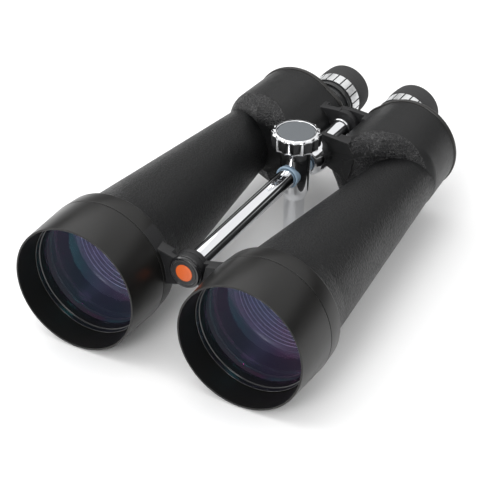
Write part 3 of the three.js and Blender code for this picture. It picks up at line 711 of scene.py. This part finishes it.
def smoothstep(low, high, value):
    t = min(max((value - low) / (high - low), 0.0), 1.0)
    return t * t * (3 - 2 * t)


def patch_share(u, y, w):
    """1 inside the wrinkled patch, 0 outside, with a soft edge."""
    beyond = max(0.0, u - PATCH_START_U)
    edge = HOUSING_FRONT_Y + PATCH_DEPTH * (1 - math.exp(-beyond / PATCH_SPREAD))
    inside = 1 - smoothstep(edge - 1.2, edge + 0.2, y)
    return inside * smoothstep(17.0, 21.0, u) * smoothstep(2.0, 5.0, abs(w))


def wrinkle(u, y, w):
    """Height of the wrinkles, 0 to 1: long ridges near the hinge, random ones outwards."""
    random_share = smoothstep(48.0, 66.0, u)
    shift = noise.noise_vector(Vector((u, y, w)) * 0.18) * 1.3
    across = 1.9 - 0.5 * random_share
    along = 5.5 - 3.7 * random_share
    point = Vector(((u + shift.x) / across, (y + shift.y) / along, (w + shift.z) / across))
    distances = noise.voronoi(point)[0]
    crack = distances[1] - distances[0]
    ridge = 1 - smoothstep(0.0, 0.42, crack)
    return ridge * (0.75 + 0.25 * noise.noise(point * 1.7))


WRINKLE_HEIGHT = 0.7


def shouldered_hull(name, inset, small, set_back, rear_y, steps, count=HULL_POINTS, wrinkled=False):
    rings = []
    for i in range(steps + 1):
        angle = math.pi / 2 * i / steps
        inwards = SHOULDER_WIDTH * (1 - math.sin(angle))
        depth = SHOULDER_DEPTH * (1 - math.cos(angle)) + set_back
        rings.append(hull_ring(inset + inwards, small - inwards,
                               lambda u, depth=depth: front_y(u) + depth, count))
    last = [SHOULDER_DEPTH + set_back + front_y(u) for u, _ in hull_points(inset, small, count)]
    straight_steps = 24 if wrinkled else 1
    near_share = 0.34
    for k in range(1, straight_steps + 1):
        t = k / straight_steps
        t = t * near_share if k < straight_steps else 1.0
        ring = []
        for (u, w), start in zip(hull_points(inset, small, count), last):
            y = start + (rear_y - start) * t
            ring.append((leaned(u, y), y, w))
        rings.append(ring)
    if wrinkled:
        rings = wrinkled_rings(rings)
    return loft(name, rings)


def wrinkled_rings(rings):
    """Raises the wrinkles along the skin's own normals."""
    grid = np.array(rings)
    around = np.roll(grid, -1, axis=1) - np.roll(grid, 1, axis=1)
    along = np.gradient(grid, axis=0)
    normals = np.cross(around, along)
    normals /= np.linalg.norm(normals, axis=2, keepdims=True) + 1e-12
    middle = grid.mean(axis=(0, 1))
    outward = np.sign(np.sum(normals * (grid - middle), axis=2, keepdims=True).mean())
    for i in range(1, grid.shape[0] - 1):
        for j in range(grid.shape[1]):
            u, y, w = grid[i, j]
            share = patch_share(u, y, w)
            if share > 0.01:
                height = WRINKLE_HEIGHT * share * wrinkle(u, y, w)
                grid[i, j] += normals[i, j] * outward * height
    return [[tuple(point) for point in ring] for ring in grid]


def knuckle_relief(hub, own_in_front):
    low, high = hub[:2]
    middle = (low + high) / 2
    if own_in_front:
        return rod("relief", RELIEF_R, middle - KNUCKLE_GAP / 2, high + KNUCKLE_GAP)
    return rod("relief", RELIEF_R, low - KNUCKLE_GAP, middle + KNUCKLE_GAP / 2)


def prism_housing(middle_in_front, rear_in_front):
    body = shouldered_hull("prism_housing", 0, SMALL_R, 0, HOUSING_REAR_Y, 36, wrinkled=True)
    cone = lathe("cone", [
        (0, CONE_REAR_Y), (CONE_REAR_R, CONE_REAR_Y), (cone_radius(110), 110), (0, 110),
    ], at=(OBJECTIVE_U, 0), closed=False)
    join(body, cone)
    cut(body, knuckle_relief(MIDDLE_LUG, middle_in_front), knuckle_relief(REAR_LUG, rear_in_front))
    join(body, hinge_arm(MIDDLE_LUG, middle_in_front, MIDDLE_ARM, 0.6),
         hinge_arm(REAR_LUG, rear_in_front, REAR_ARM, 0.6))
    cavity = shouldered_hull("cavity", 2.5, 18, 3.5, HOUSING_REAR_Y + 1, 8, count=160)
    clearance = lathe("clearance", [
        (0, 60), (cone_radius(60) + 0.1, 60), (CONE_REAR_R + 0.02, CONE_REAR_Y), (25.55, CONE_REAR_Y),
        (25.55, 84.4), (24.4, 84.4), (24.4, 100), (0, 100),
    ], at=(OBJECTIVE_U, 0), closed=False)
    return cut(body, cavity, clearance)


def rear_cover():
    """The cover's rounded rim stands a little proud of the housing, behind a dark groove."""
    profile = [
        (0.9, 141.3), (0.9, 141.9), (-0.2, 142.1), (-0.8, 142.6), (-1.1, 143.4), (-1.15, 144.4),
        (-0.9, 145.3), (-0.3, 145.9), (0.6, 146.15), (2.2, 146.15), (2.7, 145.7), (3.4, 145.5),
    ]
    rings = [hull_ring(inset, SMALL_R - inset, lambda u, y=y: y, 240) for inset, y in profile]
    body = loft("rear_cover", rings)
    at = (EYEPIECE_U, 0)
    boss = lathe("boss", [
        (0, 144), (24.3, 144), (23.5, 146.6, 0.8), (23.5, BOSS_REAR_Y, 0.6), (0, BOSS_REAR_Y),
    ], SMALL_ROUND, at, closed=False)
    return cut(join(body, boss), rod("hole", 16.4, 130, 160, SMALL_ROUND, at))


# ------------------------------------------------------------------ eyepieces


def eyepiece_tube():
    return lathe("eyepiece_tube", [
        (14.4, 143.6), (16, 143.6), (16, 148.8), (20.8, 148.8, 0.4), (20.8, 152.6, 0.2),
        (20.3, 152.9, 0.2), (20.3, 153.5, 0.2), (20.8, 153.8, 0.2), (20.8, 167.5, 0.3), (14.4, 167.5, 0.3),
    ], SMALL_ROUND, (EYEPIECE_U, 0))


PAD_LOW_Y, PAD_HIGH_Y = 163.6, 176.6


def pad_radius(angle, r, y):
    """Cuts narrow grooves between the bright pads."""
    if r < 23.0 or not PAD_LOW_Y < y < PAD_HIGH_Y:
        return r
    phase = (angle * PADS / (2 * math.pi)) % 1.0
    return r - 0.9 * (1 - smoothstep(0.04, 0.09, min(phase, 1 - phase)))


def focus_ring():
    return lathe("focus_ring", [
        (21.4, 158.2, 0.2), (22.6, 158.2, 0.5), (22.9, 161.9, 0.5), (22.0, 162.4, 0.2), (22.0, 163.1, 0.2),
        (23.5, 163.2, 0.2), (23.6, 163.7, 0.1), (23.6, 164.2), (23.6, 170), (23.6, 176.0),
        (23.6, 176.5, 0.1), (23.3, 177.0, 0.2), (21.3, 177.0), (21.3, 180.6, 0.2), (19.0, 180.6, 0.2),
        (19.0, 177.0), (13.5, 177.0), (13.5, 173.0), (21.4, 173.0),
    ], PADS * 24, (EYEPIECE_U, 0), radius_at=pad_radius, steps=2)


def eyecup():
    """A rubber cup, slightly swollen in the middle, with a rolled rim."""
    return lathe("eyecup", [
        (21.7, 177.4, 0.2), (23.4, 177.4, 0.5), (23.95, 180.5, 2), (24.0, 186.5, 4), (23.5, 193.5, 3),
        (23.0, 197.0, 1.2), (20.6, 197.0, 0.9), (18.6, 188, 3), (18.2, 181.2, 0.4), (21.7, 181.2, 0.2),
    ], SMALL_ROUND, (EYEPIECE_U, 0), steps=6)


# ------------------------------------------------------------------ hinge and post


CAP_FACE_R = 11.1


def hinge_cap():
    """A round cap: a flat face, a groove, a glossy outer ring and a turned ring behind it."""
    return lathe("hinge_cap", [
        (0, -152.2), (7.9, -152.2, 0.1), (8.0, -153.0, 0.2), (10.9, -153.0, 0.2), (CAP_FACE_R, -152.3, 0.1),
        (11.7, -152.3, 0.1), (12.0, -153.0, 0.3), (13.3, -152.8, 0.6), (14.3, -151.6, 0.6),
        (14.3, -151.0, 0.3), (13.5, -150.7, 0.15), (13.5, -150.2, 0.15), (14.4, -149.9, 0.3),
        (14.4, -148.35, 0.4), (JOURNAL_BORE, -148.35), (JOURNAL_BORE, -151.15), (0, -151.15),
    ], SMALL_ROUND, closed=False)


def cap_disc():
    return lathe("cap_disc", [
        (0, -153.25), (4.4, -153.2), (6.8, -153.05), (7.5, -152.9, 0.15), (7.6, -152.55, 0.1), (0, -152.55),
    ], SMALL_ROUND, closed=False)


ROD_FRONT_Y, ROD_REAR_Y = span_of("hinge_rod", 1)


def hinge_rod():
    front, rear = FRONT_HUB[1] + KNUCKLE_GAP, MIDDLE_LUG[0] - KNUCKLE_GAP
    return lathe("hinge_rod", [
        (0, ROD_FRONT_Y), (JOURNAL_R, ROD_FRONT_Y, 0.3), (JOURNAL_R, front), (ROD_R, front, 0.4),
        (ROD_R, rear, 0.4), (JOURNAL_R, rear), (JOURNAL_R, ROD_REAR_Y, 0.4), (0, ROD_REAR_Y),
    ], SMALL_ROUND, closed=False)


def rear_collar():
    """A domed collar: a short neck, a swelling flank and a straight rear edge."""
    front, rear = span_of("rear_collar", 1)
    return lathe("rear_collar", [
        (ROD_BORE, front, 0.2), (10.6, front, 1.4), (12.6, front + 0.9, 2.0), (15.0, front + 4.8, 3.0),
        (16.5, front + 10, 4.0), (17.0, front + 16, 1.0), (17.0, rear, 0.6), (ROD_BORE, rear, 0.2),
    ], SMALL_ROUND, steps=8)


def rear_spacer():
    front, rear = span_of("rear_spacer", 1)
    outer, waist = 9.0, 8.3
    return lathe("rear_spacer", [
        (JOURNAL_BORE, front), (outer, front, 0.4), (outer, front + 3, 0.5), (waist, front + 3.8, 0.5),
        (waist, rear - 3.8, 0.5), (outer, rear - 3, 0.5), (outer, rear, 0.4), (JOURNAL_BORE, rear),
    ], SMALL_ROUND)


def hinge_nut():
    front, rear = span_of("hinge_nut", 1)
    inner = ROD_REAR_Y + KNUCKLE_GAP
    return lathe("hinge_nut", [
        (0, inner), (JOURNAL_BORE, inner), (JOURNAL_BORE, front), (11.0, front, 0.3),
        (11.0, rear - 1.4, 0.5), (10.0, rear, 0.5), (4.4, rear, 0.2), (4.2, rear - 0.4, 0.2),
        (0, rear - 0.4),
    ], SMALL_ROUND, closed=False)


def rod_bush():
    """A liner with a thin collar that hugs the rod in front of the post."""
    front, rear = span_of("rod_bush", 1)
    liner = 9.75
    return lathe("rod_bush", [
        (ROD_BORE, front, 0.2), (9.9, front, 0.5), (10.3, front + 0.6, 0.4), (10.3, front + 1.6, 0.2),
        (liner, front + 1.6), (liner, rear, 0.2), (ROD_BORE, rear),
    ], SMALL_ROUND)


def upright(name, outline, segments=SMALL_ROUND, closed=False, radius_at=None, steps=5):
    return lathe(name, outline, segments, closed=closed, radius_at=radius_at, steps=steps)


LEG_R, ROD_HOLE_R = 9.1, 10.1


def tripod_post():
    """The post: a leg, and a clamp body that the hinge rod passes through."""
    top = KNOB_LOW_Z - 0.6
    body = upright("tripod_post", [
        (0, 0.0), (LEG_R, 0.0, 0.8), (LEG_R, 48.5, 0.3), (9.9, 49.2, 0.5), (13.0, 57.0, 4.0),
        (13.0, 90.0, 2.0), (12.4, top, 0.8), (0, top),
    ])
    body.data.transform(upright_matrix())
    hole = rod("rod_hole", ROD_HOLE_R, POST_Y - 20, POST_Y + 20)
    hole.data.transform(hinge_matrix())
    screw = upright("screw_hole", [(0, HINGE_Z), (5.4, HINGE_Z), (5.4, 120), (0, 120)])
    screw.data.transform(upright_matrix())
    foot = upright("foot_hole", [(0, -1), (5.2, -1), (5.2, 14), (0, 14)])
    foot.data.transform(upright_matrix())
    return cut(body, hole, screw, foot)


def scallop_radius(angle, r, z):
    """Rounded notches round the knob's rim."""
    if r < 18.0:
        return r
    phase = abs(((angle * SCALLOPS / (2 * math.pi)) % 1.0) - 0.5) * 2
    notch = 1.5 * (1 - phase ** 2)
    return r - notch * min(1.0, (r - 18.0) / 2.5)


def clamp_knob():
    low, top = KNOB_LOW_Z, KNOB_TOP_Z
    return upright("clamp_knob", [
        (0, HINGE_Z + 13.6), (5.0, HINGE_Z + 13.6), (5.0, low), (12.5, low, 0.5), (14.5, low + 0.6, 1.0),
        (20.6, low + 1.2, 1.2), (21.5, low + 3.2, 0.8), (21.5, top - 1.6, 0.9), (20.2, top - 0.3, 0.8),
        (17.4, top, 0.5), (16.9, top - 0.3, 0.3), (16.6, top - 1.4, 0.2), (0, top - 1.4),
    ], SCALLOPS * 16, radius_at=scallop_radius, steps=3)


def knob_disc():
    top = KNOB_TOP_Z
    return upright("knob_disc", [
        (0, top - 1.05), (16.2, top - 1.05, 0.1), (16.2, top - 0.45, 0.2), (15.4, top - 0.3, 0.2), (0, top - 0.3),
    ])


# ------------------------------------------------------------------ build


def named(obj, name):
    obj.name = name
    obj.data.name = name
    return obj


def build_half(side):
    matrix = half_matrix(side)
    half, focus = f"{side}_half", f"{side}_focus"
    is_right = side == "right"
    at = (OBJECTIVE_U, 0)

    def put(obj, body, slot, looks, node, **options):
        looks = [MATERIALS[look] for look in looks]
        name = f"{side}_{node}"
        return place(named(obj, name + "_look"), matrix, body, slot, looks, name, **options)

    put(lens_hood(), half, "hood_satin_black", ["hood_satin_black"], "lens_hood")
    tube = objective_tube(not is_right)
    tube_materials = ["tube_grained_black", "hood_satin_black", "inner_matt_black", "lug_black"]
    paint = {"cone": 0, "band": 1, "inside": 2, "arm": 3}

    def tube_look(centre):
        radius = math.hypot(centre.x - OBJECTIVE_U, centre.z)
        if centre.x < 33 and FRONT_HUB[0] - 1 < centre.y < FRONT_HUB[1] + 1:
            return paint["arm"]
        if centre.y < -130.5:
            return paint["band"] if radius > 53.5 else paint["inside"]
        return paint["cone"] if radius > cone_radius(centre.y) - 1.0 else paint["inside"]

    paint_faces(tube, tube_look)
    put(tube, half, "tube_grained_black", tube_materials, "objective_tube")
    put(retaining_ring(), half, "ring_gloss_black", ["ring_gloss_black"], "retaining_ring")
    put(lens("crown", 51, (-162, -4.5), (-157, 3), at), half, "objective_glass", ["objective_glass"],
        "crown_lens")
    put(lens("flint", 51, (-155.6, 3), (-148.6, 0.8), at), half, "clear_glass", ["rear_lens_glass"],
        "flint_lens")
    put(objective_cell(), half, "inner_matt_black", ["inner_matt_black"], "objective_cell")
    baffle = tube_baffle()
    # the rib crests take the painted highlight
    paint_faces(baffle, rib_look)
    put(baffle, half, "inner_matt_black", ["rib_black", "rib_edge"], "tube_baffle")

    housing = prism_housing(is_right, not is_right)

    def housing_look(centre):
        radius = math.hypot(centre.x - OBJECTIVE_U, centre.z)
        if CONE_REAR_Y - 0.1 < centre.y < 110 and abs(radius - cone_radius(centre.y)) < 0.25:
            return 1
        for low, high in (MIDDLE_LUG[:2], REAR_LUG[:2]):
            if centre.x < 30 and low - 0.5 < centre.y < high + 0.5 and outside_hull(centre.x, centre.z):
                return 3
        if patch_share(centre.x, centre.y, centre.z) > 0.4 and centre.y > HOUSING_FRONT_Y + 0.05:
            return 2
        return 0

    paint_faces(housing, housing_look)
    put(housing, half, "housing_black",
        ["housing_black", "tube_grained_black", "wrinkle_black", "lug_black"], "prism_housing", degrees=40)
    put(rear_cover(), half, "cover_black", ["cover_black"], "rear_cover")
    put(eyepiece_tube(), half, "barrel_grey", ["barrel_grey"], "eyepiece_tube")

    ring = focus_ring()

    def ring_look(centre):
        radius = math.hypot(centre.x - EYEPIECE_U, centre.z)
        return 0 if radius > 23.45 and PAD_LOW_Y < centre.y < PAD_HIGH_Y + 0.3 else 1

    paint_faces(ring, ring_look)
    put(ring, focus, "focus_silver", ["focus_silver", "barrel_grey"], "focus_ring")
    put(eyecup(), focus, "eyecup_rubber", ["eyecup_rubber"], "eyecup")
    eye_at = (EYEPIECE_U, 0)
    put(lens("eye_lens", 11.45, (169, -2.4), (176.6, 1), eye_at, SMALL_ROUND), f"{side}_eyepiece",
        "objective_glass", ["objective_glass"], "eye_lens")


def cap_look(centre):
    return 1 if math.hypot(centre.x, centre.z) < CAP_FACE_R else 0


def build_centre():
    hinge = hinge_matrix()
    upright_place = upright_matrix()
    still = Matrix.Identity(4)
    pieces = [
        (hinge_cap(), hinge, "hinge", "ring_gloss_black", "hinge_cap"),
        (cap_disc(), hinge, "hinge", "disc_orange", "cap_disc"),
        (hinge_rod(), hinge, "hinge", "chrome_plate", "hinge_rod"),
        (rear_collar(), hinge, "hinge", "chrome_plate", "rear_collar"),
        (rear_spacer(), hinge, "hinge", "chrome_plate", "rear_spacer"),
        (hinge_nut(), hinge, "hinge", "ring_gloss_black", "hinge_nut"),
        (rod_bush(), hinge, "post_bush", "bush_nylon", "rod_bush"),
        (tripod_post(), still, "post", "chrome_plate", "tripod_post"),
        (clamp_knob(), upright_place, "knob", "chrome_plate", "clamp_knob"),
        (knob_disc(), upright_place, "knob", "disc_grey", "knob_disc"),
    ]
    for obj, matrix, body, slot, node in pieces:
        looks = [MATERIALS[slot]]
        if node == "hinge_cap":
            looks.append(MATERIALS["cap_face_grey"])
            paint_faces(obj, cap_look)
        place(named(obj, node + "_look"), matrix, body, slot, looks, node)


for side in SIDES:
    build_half(side)
build_centre()

# the hidden inner pieces keep their CAD shapes and take on the same finishes
INNER_LOOKS = {
    "lens_spacer": "inner_matt_black",
    "prism_shelf": "inner_matt_black", "rear_prism": "clear_glass", "front_prism": "clear_glass",
    "rear_prism_clip": "bright_steel", "front_prism_clip": "bright_steel",
    "eyepiece_carrier": "inner_matt_black", "field_lens": "clear_glass",
    "eye_lens_ring": "inner_matt_black", "thread_insert": "insert_brass", "clamp_shoe": "insert_brass",
}
for name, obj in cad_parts.items():
    look = INNER_LOOKS.get(name.replace("right_", "").replace("left_", ""))
    if look:
        obj.data.materials.clear()
        obj.data.materials.append(MATERIALS[look])

# ------------------------------------------------------------------ stage, light, camera

FLOOR_DROP = 0.0003
FLOOR_HALF = 6.0


def stage_floor():
    graph = Graph("floor_paper")
    tone = graph.mix(graph.noise(3, 2), rgb(0.90), rgb(0.93))
    paper = graph.finish(principled(graph, tone, 0.6, Specular_IOR_Level=0.15))
    corners = [(-FLOOR_HALF, -FLOOR_HALF), (FLOOR_HALF, -FLOOR_HALF), (FLOOR_HALF, FLOOR_HALF),
               (-FLOOR_HALF, FLOOR_HALF)]
    mesh = bpy.data.meshes.new("floor")
    mesh.from_pydata([(x, y, -FLOOR_DROP) for x, y in corners], [], [(0, 1, 2, 3)])
    mesh.materials.append(paper)
    floor = bpy.data.objects.new("floor", mesh)
    bpy.context.scene.collection.objects.link(floor)


def soft_box(name, position, target, width, height, power):
    lamp = bpy.data.lights.new(name, "AREA")
    lamp.shape, lamp.size, lamp.size_y, lamp.energy = "RECTANGLE", width, height, power
    obj = bpy.data.objects.new(name, lamp)
    bpy.context.scene.collection.objects.link(obj)
    obj.location = position
    direction = Vector(target) - Vector(position)
    obj.rotation_euler = direction.to_track_quat("-Z", "Y").to_euler()
    return obj


ROOM = [(0.0, 0.60), (0.16, 0.40), (0.22, 0.04), (0.44, 0.04), (0.50, 1.1), (1.0, 1.0)]
CAMERA_LIGHT, FILL_LIGHT = 1.12, 1.08


def studio_world():
    """White for the camera and a weak fill for plain light; for reflections a bright ceiling
    over a dark room with a lighter horizon. ROOM gives the brightness by height."""
    world = bpy.data.worlds.new("studio")
    bpy.context.scene.world = world
    world.use_nodes = True
    tree = world.node_tree
    tree.nodes.clear()
    add, link = tree.nodes.new, tree.links.new
    white, fill, room = (add("ShaderNodeBackground") for _ in range(3))
    white.inputs["Strength"].default_value = CAMERA_LIGHT
    fill.inputs["Strength"].default_value = FILL_LIGHT
    for background in (white, fill):
        background.inputs["Color"].default_value = rgb(1.0)
    where, split, ramp = add("ShaderNodeTexCoord"), add("ShaderNodeSeparateXYZ"), add("ShaderNodeValToRGB")
    for i, (position, level) in enumerate(ROOM):
        element = ramp.color_ramp.elements[i] if i < 2 else ramp.color_ramp.elements.new(position)
        element.position, element.color = position, rgb(level)
    link(where.outputs["Generated"], split.inputs[0])
    link(split.outputs["Z"], ramp.inputs[0])
    link(ramp.outputs[0], room.inputs["Color"])
    path, glossy, seen = add("ShaderNodeLightPath"), add("ShaderNodeMixShader"), add("ShaderNodeMixShader")
    link(path.outputs["Is Glossy Ray"], glossy.inputs[0])
    link(fill.outputs[0], glossy.inputs[1])
    link(room.outputs[0], glossy.inputs[2])
    link(path.outputs["Is Camera Ray"], seen.inputs[0])
    link(glossy.outputs[0], seen.inputs[1])
    link(white.outputs[0], seen.inputs[2])
    link(seen.outputs[0], add("ShaderNodeOutputWorld").inputs["Surface"])


CAMERA_AT = (0.6910, -1.2853, 0.9826)
CAMERA_LOOK = (-0.4107, 0.7265, -0.5510)
CAMERA_UP = (-0.2856, 0.4714, 0.8344)
CAMERA_LENS = 151.6


def photo_camera():
    data = bpy.data.cameras.new("camera")
    data.lens, data.sensor_width = CAMERA_LENS, 36.0
    data.clip_start, data.clip_end = 0.01, 50.0
    camera = bpy.data.objects.new("camera", data)
    bpy.context.scene.collection.objects.link(camera)
    look, up = Vector(CAMERA_LOOK).normalized(), Vector(CAMERA_UP)
    right = look.cross(up).normalized()
    up = right.cross(look)
    turn = Matrix((right, up, -look)).transposed().to_4x4()
    camera.matrix_world = Matrix.Translation(CAMERA_AT) @ turn
    bpy.context.scene.camera = camera


stage_floor()
studio_world()
soft_box("soft_top", (-0.8, 0.15, 1.5), (0, 0, 0.05), 2.2, 2.2, 12)
soft_box("soft_left", (-1.4, -0.6, 0.8), (0, -0.1, 0.05), 0.8, 0.8, 4)
soft_box("soft_front", (0.2, -1.5, 1.0), (0, -0.2, 0.05), 0.5, 0.5, 9)
photo_camera()
bpy.context.scene.view_settings.view_transform = "Standard"
